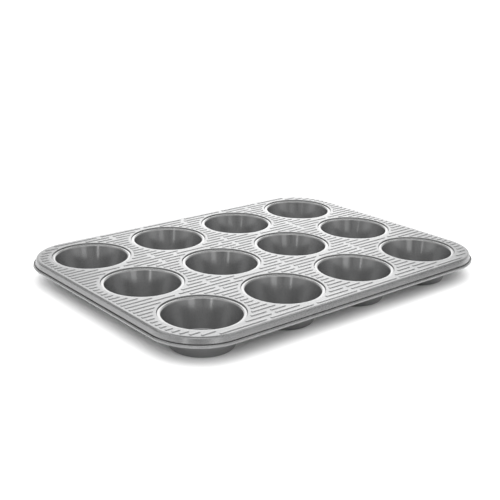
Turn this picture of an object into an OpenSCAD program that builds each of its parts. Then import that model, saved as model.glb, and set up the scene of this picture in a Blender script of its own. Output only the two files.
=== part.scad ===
// Twelve-cup muffin tin: a ribbed steel sheet with stepped round seats and a wired rim,
// and twelve drawn cups clinched into the seats.
// Millimetres, +Z up. The origin is under the middle of the tin, on the surface that the cups
// stand on. +X runs along the side with four cups, and -Y is the front.

/* [Layout] */
// Cups along the long side
cups_long = 4; // [2:1:6]
// Rows of cups along the short side
cup_rows = 3; // [1:1:3]
// Distance between cup centres along the long side
pitch_x = 90; // [86:1:110]
// Distance between cup centres along the short side
pitch_y = 88; // [86:1:110]
// Distance from the outer cup centres to the edge of the flat sheet, at both ends
margin_x = 50; // [47:0.5:70]
// Distance from the outer cup centres to the edge of the flat sheet, at front and back
margin_y = 48.5; // [47:0.5:70]
// Radius of the flat sheet's corners
corner_r = 45; // [41:1:46]

/* [Cups] */
// Height of a cup, from the surface it stands on to the top of its lip
cup_height = 28.5; // [20:0.5:45]
// Thickness of a cup's steel
cup_t = 0.6; // [0.4:0.1:0.8]
// Radius of the cup's flange, which lies on the seat
flange_r = 37.5; // [37:0.1:37.7]
// Radius of the circle where the flat flange begins to round over into the cup
lip_centre_r = 35.6; // [34:0.1:36]
// Radius of the lip's rounding
lip_r = 1.5; // [1:0.1:2]
// Outer radius of the cup's bottom, corner rounding included
base_r = 28.7; // [24:0.1:31]
// Radius of the rounding between wall and bottom, on the outside
base_corner_r = 3; // [2:0.5:5]
// Radius of the clinch bead that locks the cup under its seat
clinch_r = 37; // [36.5:0.1:37.5]
// Height of the clinch bead
clinch_h = 1.2; // [0.8:0.1:2]

/* [Sheet] */
// Thickness of the sheet
sheet_t = 0.8; // [0.6:0.1:1]
// Depth of a seat's ledge below the top of the sheet
seat_drop = 1.6; // [1.2:0.1:2]
// Radius of a seat's wall, where the sheet steps down
seat_r = 37.8; // [37.8:0.1:38.8]
// Radius of the hole inside a seat
seat_hole_r = 36; // [35.7:0.1:36.3]

/* [Ribs] */
// Rows of ribs for each cup pitch along the short side
ribs_per_pitch = 14; // [8:2:18]
// Width of a rib
rib_w = 2.6; // [1.5:0.1:3]
// Height of a rib above the sheet
rib_h = 0.5; // [0.3:0.1:0.8]
// Length of a break between two ribs of one row
rib_break = 4.6; // [3:0.2:8]
// Radius round a cup centre inside which there are no ribs
rib_clear_r = 40.8; // [40:0.1:43]
// Distance from the edge of the flat sheet to the ends of the ribs
rib_inset = 3; // [2:0.5:5]
// Breaks of the two rows that run unbroken between the cup rows, along X
inner_row_breaks = [-129, -68, -12.5, 39.5, 89, 138.5];
// Breaks of the outermost row at front and back, along X
outer_row_breaks = [-100.5, -48, 5, 57, 110];

/* [Rim] */
// Radius of the rounding from the flat sheet into the skirt
edge_r = 2; // [1.5:0.1:3]
// Angle of the skirt from upright
skirt_angle = 15; // [5:1:20]
// Depth of the slot between skirt and curl below the top of the sheet
slot_depth = 5.25; // [5:0.05:8]
// Radius of the wire inside the curl
wire_r = 0.85; // [0.8:0.01:0.9]
// Thickness of the curl's steel round the wire
curl_t = 0.75; // [0.7:0.01:0.8]

/* [Hidden] */
$fn = 96;
ROW_NAMES = ["front", "middle", "back"];
CUP_NAMES = [for (row = [0:cup_rows - 1], col = [1:cups_long]) str("cup_", ROW_NAMES[row], "_", col)];

// Size of the bevels on the clinch bead
bead_round = 0.3;
// Gap between wire and curl
wire_clearance = 0.01;
// Steps in each arc of a section, and in the curl
arc_steps = 6;
curl_steps = 16;
// Directions, seen from the wire, where the curl begins, ends, and meets the inside of the skirt
slot_start = 150;
slot_end = 60;
curl_meets_skirt = 128;

// Heights
ledge_z = cup_height - cup_t;
top_z = ledge_z + seat_drop;

// Half sizes of the flat sheet, and the centres of its corner arcs
half_x = pitch_x * (cups_long - 1) / 2 + margin_x;
half_y = pitch_y * (cup_rows - 1) / 2 + margin_y;
corner_x = half_x - corner_r;
corner_y = half_y - corner_r;
CORNERS = [[corner_x, corner_y], [-corner_x, corner_y], [-corner_x, -corner_y], [corner_x, -corner_y]];

// Rim section, with u measured outwards from the axis of a corner arc. The flat sheet's outline is
// at corner_r, a little way down its rounded edge. The swept strip of sheet laps over the sheet.
edge_inset = 0.7;
strip_w = 7;
strip_lap = 2;
strip_u = corner_r - strip_w;
edge_u = corner_r - edge_inset;
skirt_top = [edge_u + edge_r * cos(skirt_angle), top_z - edge_r + edge_r * sin(skirt_angle)];
slot_z = top_z - slot_depth;
slot_u = skirt_top[0] + (skirt_top[1] - slot_z) * tan(skirt_angle);
curl_r = wire_r + curl_t;
curl_from_slot = [0.3, -1.9];
curl_centre = [slot_u, slot_z] + curl_from_slot;

// Wall of a cup: its lean from upright, so that it touches the lip's arc and the base's arc
lip_centre = [lip_centre_r, cup_height - lip_r];
base_centre = [base_r - base_corner_r, base_corner_r];
centre_gap = lip_centre - base_centre;
wall_lean = acos((lip_r + base_corner_r - cup_t) / norm(centre_gap)) - atan2(centre_gap[1], centre_gap[0]);

rib_pitch = pitch_y / ribs_per_pitch;
last_rib = floor((half_y - rib_inset) / rib_pitch);

function cup_x(col) = (col - (cups_long - 1) / 2) * pitch_x;
function cup_y(row) = (row - (cup_rows - 1) / 2) * pitch_y;

// Points of an arc from angle a0 to a1
function arc(centre, r, a0, a1, steps = arc_steps) =
    [for (i = [0:steps]) let (a = a0 + (a1 - a0) * i / steps) centre + r * [cos(a), sin(a)]];

// Radius of the outside of a cup's wall at a height
function wall_r(z) =
    base_centre[0] + base_corner_r / cos(wall_lean) + (z - base_centre[1]) * tan(wall_lean);

// Section of a cup, from its axis to the edge of its flange. The clinch bead is a pinched fold of
// the wall that bears on the seat from below.
module cup_section() {
    under_seat = ledge_z - sheet_t;
    clinch_foot = under_seat - clinch_h;
    inner = concat([[flange_r, cup_height]],
                   arc(lip_centre, lip_r, 90, 180 - wall_lean),
                   arc(base_centre, base_corner_r - cup_t, -wall_lean, -90),
                   [[0, cup_t]]);
    clinch = [[wall_r(clinch_foot), clinch_foot], [clinch_r - bead_round, clinch_foot],
              [clinch_r, clinch_foot + bead_round], [clinch_r, under_seat - bead_round],
              [clinch_r - bead_round, under_seat], [wall_r(under_seat), under_seat]];
    outer = concat([[0, 0]],
                   arc(base_centre, base_corner_r, -90, -wall_lean),
                   clinch,
                   arc(lip_centre, lip_r - cup_t, 180 - wall_lean, 90),
                   [[flange_r, cup_height - cup_t]]);
    polygon(concat(inner, outer));
}

// One drawn cup: flat bottom, leaning wall, rounded lip and flange, and the clinch bead
module cup(col, row) {
    color([0.52, 0.53, 0.54])
        translate([cup_x(col), cup_y(row), 0])
            rotate_extrude()
                cup_section();
}

// Rectangle with round corners, reaching u outwards from the corner arcs' centres
module rounded_outline(u) {
    square([2 * (corner_x + u), 2 * corner_y], center = true);
    square([2 * corner_x, 2 * (corner_y + u)], center = true);
    for (c = CORNERS)
        translate(c)
            circle(r = u);
}

// Sweeps a rim section round the tin: four corner arcs and four straight sides
module around_rim() {
    for (k = [0:3]) {
        translate([CORNERS[k][0], CORNERS[k][1], 0])
            rotate([0, 0, 90 * k]) {
                rotate_extrude(angle = 90)
                    children();
                rotate([90, 0, 0])
                    linear_extrude(k % 2 == 0 ? 2 * corner_y : 2 * corner_x)
                        children();
            }
    }
}

// Section of the rim: a strip of the sheet, its rounded edge, the skirt, and the curl, which goes
// down inside the wire, round under it and back over its top, and leaves a slot beside the skirt
module rim_section() {
    edge_centre = [edge_u, top_z - edge_r];
    polygon(concat([[strip_u, top_z]],
                   arc(edge_centre, edge_r, 90, skirt_angle),
                   [[slot_u, slot_z]],
                   arc(curl_centre, wire_r, slot_start, slot_end + 360, curl_steps),
                   arc(curl_centre, curl_r, slot_end + 360, curl_meets_skirt, curl_steps),
                   arc(edge_centre, edge_r - sheet_t, skirt_angle, 90),
                   [[strip_u, top_z - sheet_t]]));
}

// Section of one seat: the step down from the sheet, and the ledge that carries the flange
module seat_section() {
    step_r = seat_r + sheet_t;
    polygon([[seat_hole_r, ledge_z], [seat_hole_r, ledge_z - sheet_t], [step_r, ledge_z - sheet_t],
             [step_r, top_z], [seat_r, top_z], [seat_r, ledge_z]]);
}

// Breaks of one row of ribs. Rows are counted from the middle of the tin.
module row_breaks(k) {
    half_pitch = ribs_per_pitch / 2;
    from_middle = abs((abs(k) + half_pitch) % ribs_per_pitch);
    off_row = min(from_middle, ribs_per_pitch - from_middle);
    between_cups = [for (col = [1:cups_long - 1]) (cup_x(col - 1) + cup_x(col)) / 2];
    through = abs(k) > ribs_per_pitch ? outer_row_breaks : inner_row_breaks;
    breaks = off_row == 0 ? through : off_row <= 2 ? between_cups : [];
    for (x = breaks)
        translate([x, k * rib_pitch])
            square([rib_break, rib_pitch], center = true);
}

// Plan of all the ribs: rows along X, cut short at the cups, at the edge and at the breaks
module rib_plan() {
    intersection() {
        difference() {
            for (k = [-last_rib:last_rib])
                translate([0, k * rib_pitch])
                    square([2 * half_x, rib_w], center = true);
            for (k = [-last_rib:last_rib])
                row_breaks(k);
            for (col = [0:cups_long - 1], row = [0:cup_rows - 1])
                translate([cup_x(col), cup_y(row)])
                    circle(r = rib_clear_r);
        }
        rounded_outline(corner_r - rib_inset);
    }
}

// The sheet that joins the cups, with its ribs, seats, skirt and curled hem
module tray_plate() {
    color([0.66, 0.66, 0.68]) {
        translate([0, 0, top_z - sheet_t])
            linear_extrude(sheet_t)
                difference() {
                    rounded_outline(strip_u + strip_lap);
                    for (col = [0:cups_long - 1], row = [0:cup_rows - 1])
                        translate([cup_x(col), cup_y(row)])
                            circle(r = seat_r);
                }
        for (col = [0:cups_long - 1], row = [0:cup_rows - 1])
            translate([cup_x(col), cup_y(row), 0])
                rotate_extrude()
                    seat_section();
        around_rim()
            rim_section();
        translate([0, 0, top_z - sheet_t / 2])
            linear_extrude(rib_h + sheet_t / 2)
                rib_plan();
    }
}

// The wire that stiffens the rim, inside the curl
module rim_wire() {
    color([0.6, 0.6, 0.62])
        around_rim()
            translate(curl_centre)
                circle(r = wire_r - wire_clearance);
}

tray_plate();
rim_wire();
for (row = [0:cup_rows - 1], col = [0:cups_long - 1])
    cup(col, row);
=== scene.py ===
"""A ribbed steel muffin tin with twelve clinched cups and a wired rim, on a pale studio floor."""

import math

import bmesh
import bpy
from mathutils import Matrix, Vector, geometry


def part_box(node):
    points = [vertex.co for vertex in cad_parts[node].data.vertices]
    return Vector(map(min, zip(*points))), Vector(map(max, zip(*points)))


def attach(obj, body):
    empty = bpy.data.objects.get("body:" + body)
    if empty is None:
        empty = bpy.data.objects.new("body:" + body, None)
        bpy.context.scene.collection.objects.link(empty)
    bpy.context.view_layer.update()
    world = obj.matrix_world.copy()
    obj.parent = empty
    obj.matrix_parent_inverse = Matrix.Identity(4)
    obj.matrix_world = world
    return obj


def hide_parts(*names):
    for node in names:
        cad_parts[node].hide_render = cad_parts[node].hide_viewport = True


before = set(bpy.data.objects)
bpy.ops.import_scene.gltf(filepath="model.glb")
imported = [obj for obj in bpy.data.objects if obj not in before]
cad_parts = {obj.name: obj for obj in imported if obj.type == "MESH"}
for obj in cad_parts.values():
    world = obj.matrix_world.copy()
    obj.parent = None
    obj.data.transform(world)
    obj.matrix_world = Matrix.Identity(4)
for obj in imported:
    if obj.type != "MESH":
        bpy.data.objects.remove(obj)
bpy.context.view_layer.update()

MM = 0.001
BODY = "root"
ROWS = ("front", "middle", "back")
COLUMNS = (1, 2, 3, 4)
CUPS = [f"cup_{row}_{column}" for row in ROWS for column in COLUMNS]

# Sheet, in millimetres
SHEET_T = 0.8
RIB_H = 0.5
SEAT_DROP = 1.6
SEAT_R = 37.8
SEAT_HOLE_R = 36.0
SEAT_BEND = 0.3
SEAT_BACK_BEND = 0.1
SEAT_FILLET = 0.3
FLAT_RING = 0.5
SEAT_STEPS = 128
BEND_STEPS = 6

# Ribs, in millimetres. A rib rises steeply over its flank to a shoulder, and from there a little
# further to its crest, whose narrow flat face is RIB_CREST wide on each side of the middle.
RIB_W = 2.6
RIB_FLANK = 0.26
RIB_SHOULDER_H = 0.40
RIB_CREST_H = 0.44
RIB_CREST = 0.08
RIB_CORNER_R = 0.9
RIB_FLANK_STEPS = 8
RIB_CREST_STEPS = 3
RIB_CORNER_STEPS = 4
RIBS_PER_PITCH = 14
RIB_CLEAR_R = 40.8
RIB_INSET = 3.0
RIB_BREAK = 4.6
BROKEN_ROWS = 2
INNER_ROW_BREAKS = (-129, -68, -12.5, 39.5, 89, 138.5)
OUTER_ROW_BREAKS = (-100.5, -48, 5, 57, 110)

# Rim, in millimetres
CORNER_R = 45.0
CORNER_STEPS = 36
EDGE_INSET = 0.7
EDGE_R = 2.0
EDGE_STEPS = 10
SKIRT_ANGLE = 15.0
SLOT_DEPTH = 5.25
WIRE_R = 0.85
CURL_T = 0.75
CURL_FROM_SLOT = (0.3, -1.9)
CURL_START = 150.0
CURL_END = 420.0
CURL_BACK_START = 128.0
CURL_STEPS = 40
WIRE_CLEARANCE = 0.01
WIRE_STEPS = 24

# Turn between two faces, in degrees, above which the edge between them is sharp, and how close two
# points of the flat sheet may be before they count as one, in millimetres
SHARP_ANGLE = 30
SAME_POINT = 1e-5

# Cups, in millimetres
CUP_T = 0.6
FLANGE_R = 37.5
FLANGE_EDGE_R = 0.3
LIP_CENTRE_R = 35.6
LIP_R = 1.5
BASE_R = 28.7
BASE_CORNER_R = 3.0
CLINCH_R = 37.0
CLINCH_H = 1.2
# Width of the band at the top of each cup's lip that is painted paler, a painted highlight
LIP_HIGHLIGHT_BAND = 0.9
CUP_STEPS = 160
CUP_ARC_STEPS = 14

# Camera: the photograph's direction, distance, target and lens
VIEW_AZIMUTH = -40.39
VIEW_ELEVATION = 18.88
VIEW_ROLL = -1.24
VIEW_DISTANCE = 0.91074
VIEW_TARGET = (-0.0023, 0.0087)
VIEW_LENS = 66.26

# Noise: its roughness, its detail, and the part of its range that is spread over a property
NOISE_ROUGHNESS = 0.55
FINE_DETAIL = 2.0
BROAD_DETAIL = 4.0
PATCH_DETAIL = 5.0
FIBRE_DETAIL = 3.0
NOISE_LOW = 0.3
NOISE_HIGH = 0.7

# Inputs and output of a mix node that hold colours
COLOR_A, COLOR_B, COLOR_MIXED = 6, 7, 2

# Looks of the coated steel and the bare wire: the share that mirrors like metal, greys from dark to
# light, and roughness from smooth to rough
COATING_WARMTH = -0.004
OXIDE_WARMTH = 0.02
SHEET_METALLIC = 0.93
SHEET_GREYS = (0.36, 0.40)
SHEET_ROUGHNESS = (0.25, 0.30)
CUP_METALLIC = 0.80
# The cups' greys are darker than the sheet's greys for the same coating: painted shade for the inside
# of the cups
CUP_SHADED_GREYS = (0.275, 0.315)
CUP_ROUGHNESS = (0.15, 0.19)
# The lip's paler grey is a painted highlight, not wear
LIP_HIGHLIGHT_GREY = 0.41
WIRE_METALLIC = 0.93
WIRE_GREYS = (0.30, 0.42)
WIRE_ROUGHNESS = (0.42, 0.55)
ROUGHNESS_CHANGE = 0.02

# Patterns: how many times each repeats in a metre, or along X, Y and Z. DRAW_SCALE's first two are
# round the cup. TURN_MARKS is in radians a metre.
GRAIN_SCALE = 2600.0
ROLL_SCALE = (25, 900, 900)
SHEET_MOTTLE_SCALE = 28.0
DRAW_SCALE = (45, 45, 60)
TURN_SCALE = 40.0
TURN_MARKS = 9000.0
CUP_MOTTLE_SCALE = 60.0
WIRE_PATCH_SCALE = 120.0
WIRE_GRAIN_SCALE = 3000.0

# How much of the sheet's tone comes from its mottling; the rest comes from its rolling marks
MOTTLE_SHARE = 0.6

# Bumps: strength, and depth in metres
SHEET_GRAIN_BUMP = (0.15, 0.00002)
CUP_GRAIN_BUMP = (0.25, 0.00003)
DRAW_BUMP = (0.15, 0.00004)
TURN_BUMP = (0.05, 0.00002)
WIRE_GRAIN_BUMP = (0.3, 0.00004)

# Studio world: brightness of each part of it. FRONT is on the viewer's side, from LOW at the horizon
# up, and dimmed by CENTRE straight behind the viewer. WING and SIDE are further round. FLANK, SOFTBOX
# and HIGH lie above those, and RING is a band below TOP. BACK is beyond the tin.
WORLD_BACK = 2.25
WORLD_BACK_EDGE = 1.05
WORLD_LOW = 0.58
WORLD_FRONT = 0.22
WORLD_CENTRE = 0.5
WORLD_WING = 0.6
WORLD_SIDE = 0.3
WORLD_SOFTBOX = 1.1
WORLD_FLANK = 0.9
WORLD_HIGH = 0.12
WORLD_TOP = 0.38
WORLD_RING = 1.2
WORLD_SEEN = 1.0

# Where one brightness gives way to the next, as the start and end of the change. Heights go from 0 at
# the horizon to 1 overhead, FACING from -1 towards the viewer to 1 away, and ASIDE from 0 in line with
# the view to 1 at right angles to it.
LOW_HEIGHT = (0.06, 0.24)
HIGH_HEIGHT = (0.28, 0.38)
FLANK_HEIGHT = (0.44, 0.53)
BACK_HEIGHT = (0.40, 0.55)
RING_RISE = (0.66, 0.71)
RING_FALL = (0.80, 0.86)
TOP_HEIGHT = (0.74, 0.90)
WING_FACING = (-0.80, -0.55)
SOFTBOX_FACING = (-0.80, -0.45)
SIDE_FACING = (-0.40, -0.08)
BACK_FACING = (0.40, 0.78)
CENTRE_ASIDE = (0.03, 0.12)
BACK_ASIDE = (0.13, 0.24)

# Sun: strength, width and elevation in degrees. Lamps: name, turn from the viewer and elevation in
# degrees, size in metres, and watts.
SUN_STRENGTH = 2.9
SUN_WIDTH = 45
SUN_ELEVATION = 50
LAMP_DISTANCE = 0.9
LAMPS = (
    ("left_strip", -22, 10, (0.06, 0.20), 0.055),
    ("right_strip", 26, 9.5, (0.26, 0.20), 0.10),
)

# Floor: half its width in metres, cells along each side, greys from dark to light, roughness, and
# the paper's fibres in a metre
FLOOR_HALF = 40.0
FLOOR_CELLS = 8
FLOOR_GREYS = (0.86, 0.88)
FLOOR_ROUGHNESS = 0.5
FIBRE_SCALE = 900.0


def arc(centre, radius, start, end, steps):
    """Points of a circle's arc in a section plane, angles in degrees."""
    points = []
    for i in range(steps + 1):
        a = math.radians(start + (end - start) * i / steps)
        points.append((centre[0] + radius * math.cos(a), centre[1] + radius * math.sin(a)))
    return points


def centre_of(node):
    """Middle of a CAD node's box, in millimetres."""
    low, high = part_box(node)
    return (low + high) / 2 / MM


def sizes():
    """The tin's main sizes and places, in millimetres, read from the CAD nodes."""
    low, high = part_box("tray_plate")
    cup_low, cup_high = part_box("cup_front_1")
    centres = [centre_of(name) for name in CUPS]
    top = high.z / MM - RIB_H
    slot_z = top - SLOT_DEPTH
    edge_u = CORNER_R - EDGE_INSET
    skirt = math.radians(SKIRT_ANGLE)
    skirt_u = edge_u + EDGE_R * math.cos(skirt)
    skirt_z = top - EDGE_R + EDGE_R * math.sin(skirt)
    slot_u = skirt_u + (skirt_z - slot_z) * math.tan(skirt)
    curl_centre = (slot_u + CURL_FROM_SLOT[0], slot_z + CURL_FROM_SLOT[1])
    reach = curl_centre[0] + WIRE_R + CURL_T
    return {
        "top": top,
        "ledge": top - SEAT_DROP,
        "slot": (slot_u, slot_z),
        "curl": curl_centre,
        "edge": (edge_u, top - EDGE_R),
        "corner": (high.x / MM - reach, high.y / MM - reach),
        "cups": [(c.x, c.y) for c in centres],
        "pitch_y": centres[len(COLUMNS)].y - centres[0].y,
        "cup_height": cup_high.z / MM,
        "columns": sorted({round(c.x, 3) for c in centres}),
    }


SIZE = sizes()


class Shell:
    """Steel sheet as pairs of points, one on each skin, that faces join."""

    def __init__(self):
        self.outer = []
        self.inner = []
        self.faces = []

    def loop(self, outer, inner):
        """Adds a closed loop of point pairs, and returns their numbers."""
        first = len(self.outer)
        self.outer += outer
        self.inner += inner
        return list(range(first, first + len(outer)))

    def bridge(self, a, b):
        """Joins two closed loops of the same length with faces."""
        for i in range(len(a)):
            j = (i + 1) % len(a)
            self.faces.append((a[i], a[j], b[j], b[i]))

    def build(self, name):
        """The closed mesh: both skins, and a strip along each cut edge."""
        bm = bmesh.new()
        outer = [bm.verts.new(Vector(p) * MM) for p in self.outer]
        inner = [bm.verts.new(Vector(p) * MM) for p in self.inner]
        sides = {}
        for face in self.faces:
            bm.faces.new([outer[i] for i in face])
            bm.faces.new([inner[i] for i in reversed(face)])
            for i, j in zip(face, face[1:] + face[:1]):
                sides[frozenset((i, j))] = None if frozenset((i, j)) in sides else (i, j)
        for pair in filter(None, sides.values()):
            i, j = pair
            bm.faces.new([outer[j], outer[i], inner[i], inner[j]])
        return finish_mesh(bm, name)


def finish_mesh(bm, name):
    """An object from a closed bmesh, smooth except at its sharp edges."""
    bmesh.ops.recalc_face_normals(bm, faces=bm.faces[:])
    mesh = bpy.data.meshes.new(name)
    bm.to_mesh(mesh)
    bm.free()
    mesh.polygons.foreach_set("use_smooth", [True] * len(mesh.polygons))
    mesh.set_sharp_from_angle(angle=math.radians(SHARP_ANGLE))
    made = bpy.data.objects.new(name, mesh)
    bpy.context.scene.collection.objects.link(made)
    return made


def rounded_loop(u, z):
    """Rounded rectangle that reaches u outwards from the corner arcs' centres, at height z."""
    corner_x, corner_y = SIZE["corner"]
    points = []
    for quarter, (sx, sy) in enumerate(((1, 1), (-1, 1), (-1, -1), (1, -1))):
        for x, y in arc((0, 0), u, 90 * quarter, 90 * quarter + 90, CORNER_STEPS):
            points.append((sx * corner_x + x, sy * corner_y + y, z))
    return points


def round_loop(cx, cy, r, z):
    """Circle round a cup's axis."""
    return [(cx + x, cy + y, z) for x, y in arc((0, 0), r, 0, 360, SEAT_STEPS)[:-1]]


def rim_sections():
    """The rim's two skins as sections of equal length, from the flat sheet out to the curl's end."""
    edge, slot, curl = SIZE["edge"], SIZE["slot"], SIZE["curl"]
    top = SIZE["top"]
    curl_r = WIRE_R + CURL_T
    outer = [(edge[0] - FLAT_RING, top)]
    outer += arc(edge, EDGE_R, 90, SKIRT_ANGLE, EDGE_STEPS)
    outer += [slot]
    outer += arc(curl, WIRE_R, CURL_START, CURL_END, CURL_STEPS)
    inner = [(edge[0] - FLAT_RING, top - SHEET_T)]
    inner += arc(edge, EDGE_R - SHEET_T, 90, SKIRT_ANGLE, EDGE_STEPS)
    lean = math.radians(SKIRT_ANGLE)
    inner += [(slot[0] - SHEET_T * math.cos(lean), slot[1] - SHEET_T * math.sin(lean))]
    inner += arc(curl, curl_r, CURL_BACK_START, CURL_END, CURL_STEPS)
    return outer, inner


def seat_sections():
    """A seat's two skins as sections, from the flat sheet in to the edge of the hole."""
    top, ledge = SIZE["top"], SIZE["ledge"]
    bend = (SEAT_R + SEAT_BEND, top - SEAT_BEND)
    fillet = (SEAT_R - SEAT_FILLET, ledge + SEAT_FILLET)
    outer = [(bend[0] + FLAT_RING, top)]
    outer += arc(bend, SEAT_BEND, 90, 180, BEND_STEPS)
    outer += arc(fillet, SEAT_FILLET, 0, -90, BEND_STEPS)
    outer += [(SEAT_HOLE_R, ledge)]
    back = (SEAT_R + SHEET_T + SEAT_BACK_BEND, top - SHEET_T - SEAT_BACK_BEND)
    inner = [(bend[0] + FLAT_RING, top - SHEET_T)]
    inner += arc(back, SEAT_BACK_BEND, 90, 180, BEND_STEPS)
    inner += arc(fillet, SEAT_FILLET + SHEET_T, 0, -90, BEND_STEPS)
    inner += [(SEAT_HOLE_R, ledge - SHEET_T)]
    return outer, inner


def cut(spans, low, high):
    """The spans of a row that are left outside low to high."""
    left = []
    for a, b in spans:
        if high <= a or low >= b:
            left.append((a, b))
            continue
        if a < low:
            left.append((a, low))
        if b > high:
            left.append((high, b))
    return left


def row_end(y):
    """How far a row of ribs at y reaches along X, inside the rounded outline."""
    corner_x, corner_y = SIZE["corner"]
    reach = CORNER_R - RIB_INSET
    into_corner = max(0.0, abs(y) - corner_y)
    return corner_x + math.sqrt(max(0.0, reach**2 - into_corner**2))


def row_breaks(k):
    """Middles of the breaks of rib row k, counted from the middle of the tin."""
    phase = (abs(k) + RIBS_PER_PITCH // 2) % RIBS_PER_PITCH
    from_through_row = min(phase, RIBS_PER_PITCH - phase)
    if from_through_row == 0:
        return OUTER_ROW_BREAKS if abs(k) > RIBS_PER_PITCH else INNER_ROW_BREAKS
    if from_through_row <= BROKEN_ROWS:
        columns = SIZE["columns"]
        return [(a + b) / 2 for a, b in zip(columns, columns[1:])]
    return ()


def ribs():
    """Every rib as (its two ends along X, y)."""
    pitch = SIZE["pitch_y"] / RIBS_PER_PITCH
    half_y = SIZE["corner"][1] + CORNER_R
    last = math.floor((half_y - RIB_INSET) / pitch)
    found = []
    for k in range(-last, last + 1):
        y = k * pitch
        spans = [(-row_end(y), row_end(y))]
        for cx, cy in SIZE["cups"]:
            if abs(y - cy) < RIB_CLEAR_R:
                half = math.sqrt(RIB_CLEAR_R**2 - (y - cy) ** 2)
                spans = cut(spans, cx - half, cx + half)
        for x in row_breaks(k):
            spans = cut(spans, x - RIB_BREAK / 2, x + RIB_BREAK / 2)
        found += [(a, b, y) for a, b in spans if b - a > RIB_W]
    return found


def rib_loop(a, b, y, inset, z):
    """A rib's outline at one height, drawn in from its foot by inset."""
    radius = max(RIB_CORNER_R - inset, RIB_CREST)
    half_y = max(RIB_W / 2 - inset, RIB_CREST) - radius
    low, high = a + inset + radius, b - inset - radius
    points = []
    for start, x, side in ((0, high, 1), (90, low, 1), (180, low, -1), (270, high, -1)):
        for p, q in arc((0, 0), radius, start, start + 90, RIB_CORNER_STEPS):
            points.append((x + p, y + side * half_y + q, z))
    return points


def rib_profile():
    """A rib's section as (distance in from its foot, height), flat at the foot and at the crest."""
    profile = [(-FLAT_RING / 2, 0.0)]
    for i in range(RIB_FLANK_STEPS + 1):
        share = i / RIB_FLANK_STEPS
        height = RIB_SHOULDER_H * (0.5 - 0.5 * math.cos(math.pi * share))
        profile.append((RIB_FLANK * share, height))
    for i in range(1, RIB_CREST_STEPS + 1):
        share = i / RIB_CREST_STEPS
        height = RIB_SHOULDER_H + (RIB_CREST_H - RIB_SHOULDER_H) * math.sin(share * math.pi / 2)
        profile.append((RIB_FLANK + (RIB_W / 2 - RIB_FLANK - RIB_CREST) * share, height))
    return profile


def lowered(points, depth=SHEET_T):
    """The same points on the sheet's lower skin."""
    return [(x, y, z - depth) for x, y, z in points]


def add_rib(shell, a, b, y):
    """One raised rib. Returns its outline on the flat sheet."""
    outline = before = None
    for inset, height in rib_profile():
        ring = rib_loop(a, b, y, inset, SIZE["top"] + height)
        numbers = shell.loop(ring, lowered(ring))
        if before:
            shell.bridge(before, numbers)
        else:
            outline = numbers
        before = numbers
    shell.faces.append(tuple(before))
    return outline


def fill_flat(shell, loops):
    """Triangles of the flat sheet between its outline, the first loop, and the other loops."""
    numbers = [n for loop in loops for n in loop]
    group = [g for g, loop in enumerate(loops) for n in loop]
    points = [Vector(shell.outer[n][:2]) for n in numbers]
    edges = []
    start = 0
    for loop in loops:
        count = len(loop)
        edges += [(start + i, start + (i + 1) % count) for i in range(count)]
        start += count
    result = geometry.delaunay_2d_cdt(points, edges, [], 0, SAME_POINT, True)
    triangles, sources = result[2], result[3]
    for triangle in triangles:
        inputs = [sources[v][0] for v in triangle]
        groups = {group[i] for i in inputs}
        inside_one_loop = len(groups) == 1 and groups != {0}
        if inside_one_loop:
            continue
        shell.faces.append(tuple(numbers[i] for i in inputs))


def make_sheet():
    """The ribbed sheet with its twelve stepped seats, skirt and curl, as one skin of real thickness."""
    shell = Shell()
    loops = []
    before = None
    for (u, z), (v, w) in zip(*rim_sections()):
        numbers = shell.loop(rounded_loop(u, z), rounded_loop(v, w))
        if before:
            shell.bridge(before, numbers)
        else:
            loops.append(numbers)
        before = numbers
    for cx, cy in SIZE["cups"]:
        before = None
        for (r, z), (s, w) in zip(*seat_sections()):
            numbers = shell.loop(round_loop(cx, cy, r, z), round_loop(cx, cy, s, w))
            if before:
                shell.bridge(before, numbers)
            else:
                loops.append(numbers)
            before = numbers
    for a, b, y in ribs():
        loops.append(add_rib(shell, a, b, y))
    fill_flat(shell, loops)
    return shell.build("tray_sheet")


def cup_section():
    """A cup's closed section, from its axis down its inside and back up its outside to the flange."""
    height = SIZE["cup_height"]
    lip = (LIP_CENTRE_R, height - LIP_R)
    base = (BASE_R - BASE_CORNER_R, BASE_CORNER_R)
    gap = (lip[0] - base[0], lip[1] - base[1])
    reach = math.hypot(*gap)
    lean = math.acos((LIP_R + BASE_CORNER_R - CUP_T) / reach) - math.atan2(gap[1], gap[0])
    lean_deg = math.degrees(lean)

    def wall(z):
        return base[0] + BASE_CORNER_R / math.cos(lean) + (z - base[1]) * math.tan(lean)

    under = SIZE["ledge"] - SHEET_T
    foot = under - CLINCH_H
    fold = CLINCH_H / 2
    edge = (FLANGE_R - FLANGE_EDGE_R, height - FLANGE_EDGE_R)
    inner = [(0, CUP_T)]
    inner += arc(base, BASE_CORNER_R - CUP_T, -90, -lean_deg, CUP_ARC_STEPS)
    inner += arc(lip, LIP_R, 180 - lean_deg, 90, CUP_ARC_STEPS)
    inner += arc(edge, FLANGE_EDGE_R, 90, 0, CUP_ARC_STEPS)
    outer = [(FLANGE_R, height - CUP_T)]
    outer += arc(lip, LIP_R - CUP_T, 90, 180 - lean_deg, CUP_ARC_STEPS)
    outer += [(wall(under), under)]
    outer += arc((CLINCH_R - fold, foot + fold), fold, 90, -90, CUP_ARC_STEPS)
    outer += [(wall(foot), foot)]
    outer += arc(base, BASE_CORNER_R, -lean_deg, -90, CUP_ARC_STEPS)
    outer += [(0, 0)]
    return inner + outer


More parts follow.
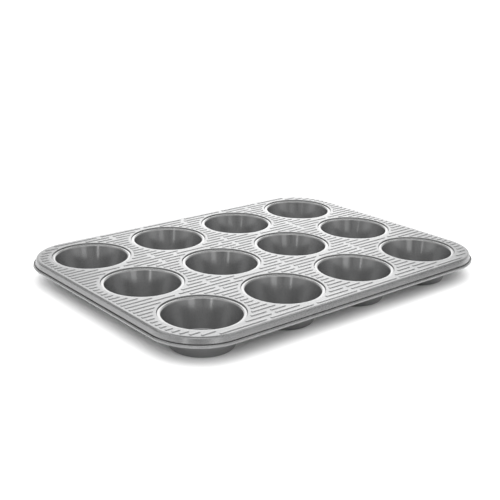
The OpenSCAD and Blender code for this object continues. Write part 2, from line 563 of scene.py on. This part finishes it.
def make_cup(name, cx, cy):
    """One drawn cup, lathed about its own axis."""
    bm = bmesh.new()
    rings = []
    for r, z in cup_section():
        if r == 0:
            rings.append([bm.verts.new((0, 0, z * MM))])
            continue
        ring = arc((0, 0), r, 0, 360, CUP_STEPS)[:-1]
        rings.append([bm.verts.new((x * MM, y * MM, z * MM)) for x, y in ring])
    for a, b in zip(rings, rings[1:]):
        for i in range(CUP_STEPS):
            j = (i + 1) % CUP_STEPS
            corners = [a[i % len(a)], a[j % len(a)], b[j % len(b)], b[i % len(b)]]
            bm.faces.new(list(dict.fromkeys(corners)))
    cup = finish_mesh(bm, name)
    cup.location = (cx * MM, cy * MM, 0)
    return cup


def make_wire():
    """The wire inside the curl, a closed loop that follows the rim."""
    bm = bmesh.new()
    section = arc(SIZE["curl"], WIRE_R - WIRE_CLEARANCE, 0, 360, WIRE_STEPS)[:-1]
    rings = []
    for u, z in section:
        rings.append([bm.verts.new(Vector(p) * MM) for p in rounded_loop(u, z)])
    for a, b in zip(rings, rings[1:] + rings[:1]):
        for i in range(len(a)):
            j = (i + 1) % len(a)
            bm.faces.new([a[i], a[j], b[j], b[i]])
    return finish_mesh(bm, "rim_wire_loop")


class Nodes:
    """Short ways to add and join the nodes of one material or world."""

    def __init__(self, owner):
        owner.use_nodes = True
        self.tree = owner.node_tree
        self.tree.nodes.clear()

    def add(self, kind, inputs=None, **settings):
        """A new node, with each input joined to a socket or set to a value."""
        node = self.tree.nodes.new(kind)
        for key, value in settings.items():
            setattr(node, key, value)
        for key, value in (inputs or {}).items():
            self.feed(node.inputs[key], value)
        return node

    def feed(self, socket, value):
        """Joins a socket to another one, or sets it to a value."""
        if isinstance(value, bpy.types.NodeSocket):
            self.tree.links.new(value, socket)
        else:
            socket.default_value = value

    def noise(self, vector, scale, detail):
        """Noise from 0 to 1."""
        inputs = {"Vector": vector, "Scale": scale, "Detail": detail, "Roughness": NOISE_ROUGHNESS}
        return self.add("ShaderNodeTexNoise", inputs).outputs["Fac"]

    def stretched(self, vector, scale):
        """Coordinates scaled along each axis."""
        node = self.add("ShaderNodeMapping", {"Vector": vector, "Scale": scale})
        return node.outputs["Vector"]

    def spread(self, value, low, high, start=NOISE_LOW, end=NOISE_HIGH):
        """Goes from low to high as the value goes from start to end."""
        inputs = {"Value": value, "From Min": start, "From Max": end, "To Min": low, "To Max": high}
        return self.add("ShaderNodeMapRange", inputs).outputs["Result"]

    def math(self, operation, a, b=0.0):
        """One operation on two values."""
        node = self.add("ShaderNodeMath", {0: a, 1: b}, operation=operation)
        return node.outputs["Value"]

    def mix(self, factor, a, b):
        """Colour a where the factor is 0, and b where it is 1."""
        node = self.add("ShaderNodeMix", {"Factor": factor}, data_type="RGBA")
        self.feed(node.inputs[COLOR_A], a)
        self.feed(node.inputs[COLOR_B], b)
        return node.outputs[COLOR_MIXED]

    def blend(self, factor, a, b):
        """Value a where the factor is 0, and b where it is 1."""
        return self.add("ShaderNodeMix", {"Factor": factor, "A": a, "B": b}).outputs["Result"]

    def change(self, level, target, value, span):
        """The level gives way to the target as the value goes along the span."""
        return self.blend(self.spread(value, 0.0, 1.0, *span), level, target)

    def bump(self, height, strength, depth, normal=None):
        """A normal from a height pattern, on top of an earlier normal if there is one."""
        inputs = {"Height": height, "Strength": strength, "Distance": depth}
        if normal:
            inputs["Normal"] = normal
        return self.add("ShaderNodeBump", inputs).outputs["Normal"]

    def metal(self, color, roughness, normal, metallic):
        """The material's surface."""
        inputs = {"Base Color": color, "Roughness": roughness, "Normal": normal, "Metallic": metallic}
        shader = self.add("ShaderNodeBsdfPrincipled", inputs)
        output = self.add("ShaderNodeOutputMaterial")
        self.tree.links.new(shader.outputs["BSDF"], output.inputs["Surface"])


def grey(value, warmth=0.0):
    """An opaque grey, a little warm or cool."""
    return (value * (1 + warmth), value, value * (1 - warmth), 1.0)


def greys(n, tone, dark_and_light, warmth):
    """A grey that goes from dark to light with the tone."""
    dark, light = dark_and_light
    return n.mix(tone, grey(dark, warmth), grey(light, warmth))


def uneven(n, base, change, smooth_and_rough):
    """Roughness that follows one pattern, and differs a little along another."""
    small = n.spread(change, -ROUGHNESS_CHANGE, ROUGHNESS_CHANGE)
    return n.math("ADD", n.spread(base, *smooth_and_rough), small)


def sheet_steel():
    """Satin coated steel: faint rolling marks along X, fine grain and soft mottling."""
    material = bpy.data.materials.new("sheet_steel")
    n = Nodes(material)
    place = n.add("ShaderNodeTexCoord").outputs["Object"]
    rolled = n.noise(n.stretched(place, ROLL_SCALE), 1.0, BROAD_DETAIL)
    mottle = n.noise(place, SHEET_MOTTLE_SCALE, BROAD_DETAIL)
    grain = n.noise(place, GRAIN_SCALE, FINE_DETAIL)
    tone = n.math("ADD", n.spread(mottle, 0.0, MOTTLE_SHARE), n.spread(rolled, 0.0, 1 - MOTTLE_SHARE))
    color = greys(n, tone, SHEET_GREYS, COATING_WARMTH)
    roughness = uneven(n, mottle, grain, SHEET_ROUGHNESS)
    n.metal(color, roughness, n.bump(grain, *SHEET_GRAIN_BUMP), SHEET_METALLIC)
    return material


def turned_marks(n, place):
    """Rings round the cup's axis, stronger in some places than in others."""
    flat = n.stretched(place, (1, 1, 0))
    radius = n.add("ShaderNodeVectorMath", {0: flat}, operation="LENGTH").outputs["Value"]
    rings = n.math("SINE", n.math("MULTIPLY", radius, TURN_MARKS))
    return n.math("MULTIPLY", rings, n.noise(flat, TURN_SCALE, FINE_DETAIL))


def cup_steel():
    """The same steel after drawing, in a darker grey that paints shade into the cups: draw marks on the
    wall, turned marks, and a lip painted paler as a painted highlight.
    """
    material = bpy.data.materials.new("cup_steel")
    n = Nodes(material)
    place = n.add("ShaderNodeTexCoord").outputs["Object"]
    parts = n.add("ShaderNodeSeparateXYZ", {"Vector": place}).outputs
    angle = n.math("ARCTAN2", parts["Y"], parts["X"])
    around = {"X": n.math("SINE", angle), "Y": n.math("COSINE", angle), "Z": parts["Z"]}
    wall = n.add("ShaderNodeCombineXYZ", around).outputs["Vector"]
    drawn = n.noise(n.stretched(wall, DRAW_SCALE), 1.0, BROAD_DETAIL)
    mottle = n.noise(place, CUP_MOTTLE_SCALE, BROAD_DETAIL)
    grain = n.noise(place, GRAIN_SCALE, FINE_DETAIL)
    tone = n.math("ADD", n.spread(mottle, 0.0, 0.5), n.spread(drawn, 0.0, 0.5))
    top = SIZE["cup_height"] * MM
    # Painted highlight: the top of the lip is painted a paler grey to stand in for the light it catches
    lip_highlight = n.spread(parts["Z"], 0.0, 1.0, top - 2 * LIP_HIGHLIGHT_BAND * MM, top - LIP_HIGHLIGHT_BAND * MM)
    # The cups' darker greys are painted shade for the inside of the cups
    color = n.mix(lip_highlight, greys(n, tone, CUP_SHADED_GREYS, COATING_WARMTH), grey(LIP_HIGHLIGHT_GREY))
    normal = n.bump(grain, *CUP_GRAIN_BUMP)
    normal = n.bump(drawn, *DRAW_BUMP, normal)
    normal = n.bump(turned_marks(n, place), *TURN_BUMP, normal)
    n.metal(color, uneven(n, mottle, drawn, CUP_ROUGHNESS), normal, CUP_METALLIC)
    return material


def wire_steel():
    """Drawn wire: rougher, with a little oxide in patches."""
    material = bpy.data.materials.new("wire_steel")
    n = Nodes(material)
    place = n.add("ShaderNodeTexCoord").outputs["Object"]
    patches = n.noise(place, WIRE_PATCH_SCALE, PATCH_DETAIL)
    grain = n.noise(place, WIRE_GRAIN_SCALE, FINE_DETAIL)
    dark, light = WIRE_GREYS
    color = n.mix(n.spread(patches, 0.0, 1.0), grey(dark), grey(light, OXIDE_WARMTH))
    roughness = n.spread(patches, *WIRE_ROUGHNESS)
    n.metal(color, roughness, n.bump(grain, *WIRE_GRAIN_BUMP), WIRE_METALLIC)
    return material


def dress(piece, material, slot_name, *nodes):
    """Gives a piece its material and body, and hides the CAD nodes that it stands for. Its slot name is
    not used.
    """
    piece.data.materials.clear()
    piece.data.materials.append(material)
    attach(piece, BODY)
    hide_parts(*nodes)


def make_tin():
    """All the pieces of the tin."""
    dress(make_sheet(), sheet_steel(), "sheet_steel", "tray_plate")
    dress(make_wire(), wire_steel(), "wire_steel", "rim_wire")
    steel = cup_steel()
    for name, (cx, cy) in zip(CUPS, SIZE["cups"]):
        dress(make_cup(name.replace("cup_", "drawn_cup_"), cx, cy), steel, "cup_steel", name)


def make_floor():
    """A wide pale studio floor."""
    bm = bmesh.new()
    bmesh.ops.create_grid(bm, x_segments=FLOOR_CELLS, y_segments=FLOOR_CELLS, size=FLOOR_HALF)
    floor = finish_mesh(bm, "studio_floor")
    material = bpy.data.materials.new("floor_paper")
    n = Nodes(material)
    place = n.add("ShaderNodeTexCoord").outputs["Object"]
    fibre = n.noise(place, FIBRE_SCALE, FIBRE_DETAIL)
    color = greys(n, n.spread(fibre, 0.0, 1.0), FLOOR_GREYS, 0.0)
    shader = n.add("ShaderNodeBsdfDiffuse", {"Color": color, "Roughness": FLOOR_ROUGHNESS})
    output = n.add("ShaderNodeOutputMaterial")
    n.tree.links.new(shader.outputs["BSDF"], output.inputs["Surface"])
    floor.data.materials.append(material)


def back_direction(azimuth, elevation):
    """Direction from the tin towards a viewer or lamp."""
    a, e = math.radians(azimuth), math.radians(elevation)
    return Vector((math.sin(a) * math.cos(e), -math.cos(a) * math.cos(e), math.sin(e)))


def make_camera():
    """The photograph's viewpoint."""
    data = bpy.data.cameras.new("camera")
    data.lens = VIEW_LENS
    camera = bpy.data.objects.new("camera", data)
    bpy.context.scene.collection.objects.link(camera)
    target = Vector((*VIEW_TARGET, SIZE["top"] * MM))
    back = back_direction(VIEW_AZIMUTH, VIEW_ELEVATION)
    turn = (-back).to_track_quat("-Z", "Y").to_matrix().to_4x4()
    roll = Matrix.Rotation(math.radians(-VIEW_ROLL), 4, "Z")
    camera.matrix_world = Matrix.Translation(target + back * VIEW_DISTANCE) @ turn @ roll
    bpy.context.scene.camera = camera


def make_lamp(name, azimuth, elevation, distance, size, power):
    """A soft rectangular lamp that faces the tin."""
    data = bpy.data.lights.new(name, "AREA")
    data.shape = "RECTANGLE"
    data.size, data.size_y = size
    data.energy = power
    lamp = bpy.data.objects.new(name, data)
    bpy.context.scene.collection.objects.link(lamp)
    back = back_direction(azimuth, elevation)
    lamp.location = back * distance
    lamp.rotation_mode = "QUATERNION"
    lamp.rotation_quaternion = (-back).to_track_quat("-Z", "Y")
    lamp.visible_camera = False


def world_measures(n):
    """How high each direction points, how far away from the viewer, and how far aside."""
    way = n.add("ShaderNodeTexCoord").outputs["Generated"]
    away = -back_direction(VIEW_AZIMUTH, 0)
    right = away.cross(Vector((0, 0, 1)))
    height = n.add("ShaderNodeSeparateXYZ", {"Vector": way}).outputs["Z"]
    facing = n.add("ShaderNodeVectorMath", {0: way, 1: away}, operation="DOT_PRODUCT")
    across = n.add("ShaderNodeVectorMath", {0: way, 1: right}, operation="DOT_PRODUCT")
    aside = n.math("ABSOLUTE", across.outputs["Value"])
    return height, facing.outputs["Value"], aside


def front_level(n, height, facing, aside):
    """Brightness on the viewer's side, round to the sides and up."""
    centre = n.spread(aside, WORLD_CENTRE, 1.0, *CENTRE_ASIDE)
    level = n.math("MULTIPLY", n.spread(height, WORLD_LOW, WORLD_FRONT, *LOW_HEIGHT), centre)
    level = n.change(level, WORLD_WING, facing, WING_FACING)
    level = n.change(level, WORLD_SIDE, facing, SIDE_FACING)
    flank = n.spread(height, WORLD_FLANK, WORLD_HIGH, *FLANK_HEIGHT)
    high = n.spread(facing, WORLD_SOFTBOX, flank, *SOFTBOX_FACING)
    return n.change(level, high, height, HIGH_HEIGHT)


def make_world():
    """A studio that is white beyond the tin, dimmer elsewhere, and plain white to the camera."""
    world = bpy.data.worlds.new("studio")
    bpy.context.scene.world = world
    n = Nodes(world)
    height, facing, aside = world_measures(n)
    back = n.spread(aside, WORLD_BACK, WORLD_BACK_EDGE, *BACK_ASIDE)
    back = n.change(back, WORLD_TOP, height, BACK_HEIGHT)
    level = n.change(front_level(n, height, facing, aside), back, facing, BACK_FACING)
    level = n.change(level, WORLD_TOP, height, TOP_HEIGHT)
    rise = n.spread(height, 0.0, 1.0, *RING_RISE)
    fall = n.spread(height, 1.0, 0.0, *RING_FALL)
    level = n.blend(n.math("MULTIPLY", rise, fall), level, WORLD_RING)
    seen = n.add("ShaderNodeLightPath").outputs["Is Camera Ray"]
    level = n.blend(seen, level, WORLD_SEEN)
    background = n.add("ShaderNodeBackground", {"Strength": level})
    background.inputs["Color"].default_value = grey(1.0)
    output = n.add("ShaderNodeOutputWorld")
    n.tree.links.new(background.outputs["Background"], output.inputs["Surface"])


def make_sun():
    """Broad even light from above and from the viewer's side, which only matte surfaces pick up."""
    data = bpy.data.lights.new("key_light", "SUN")
    data.energy = SUN_STRENGTH
    data.angle = math.radians(SUN_WIDTH)
    sun = bpy.data.objects.new("key_light", data)
    bpy.context.scene.collection.objects.link(sun)
    towards = back_direction(VIEW_AZIMUTH, SUN_ELEVATION)
    sun.rotation_mode = "QUATERNION"
    sun.rotation_quaternion = (-towards).to_track_quat("-Z", "Y")
    sun.visible_glossy = False


def make_studio():
    """Floor, world and lamps."""
    make_floor()
    make_world()
    make_sun()
    for name, azimuth, elevation, size, power in LAMPS:
        make_lamp(name, VIEW_AZIMUTH + azimuth, elevation, LAMP_DISTANCE, size, power)
    bpy.context.scene.view_settings.view_transform = "Standard"


make_tin()
make_camera()
make_studio()
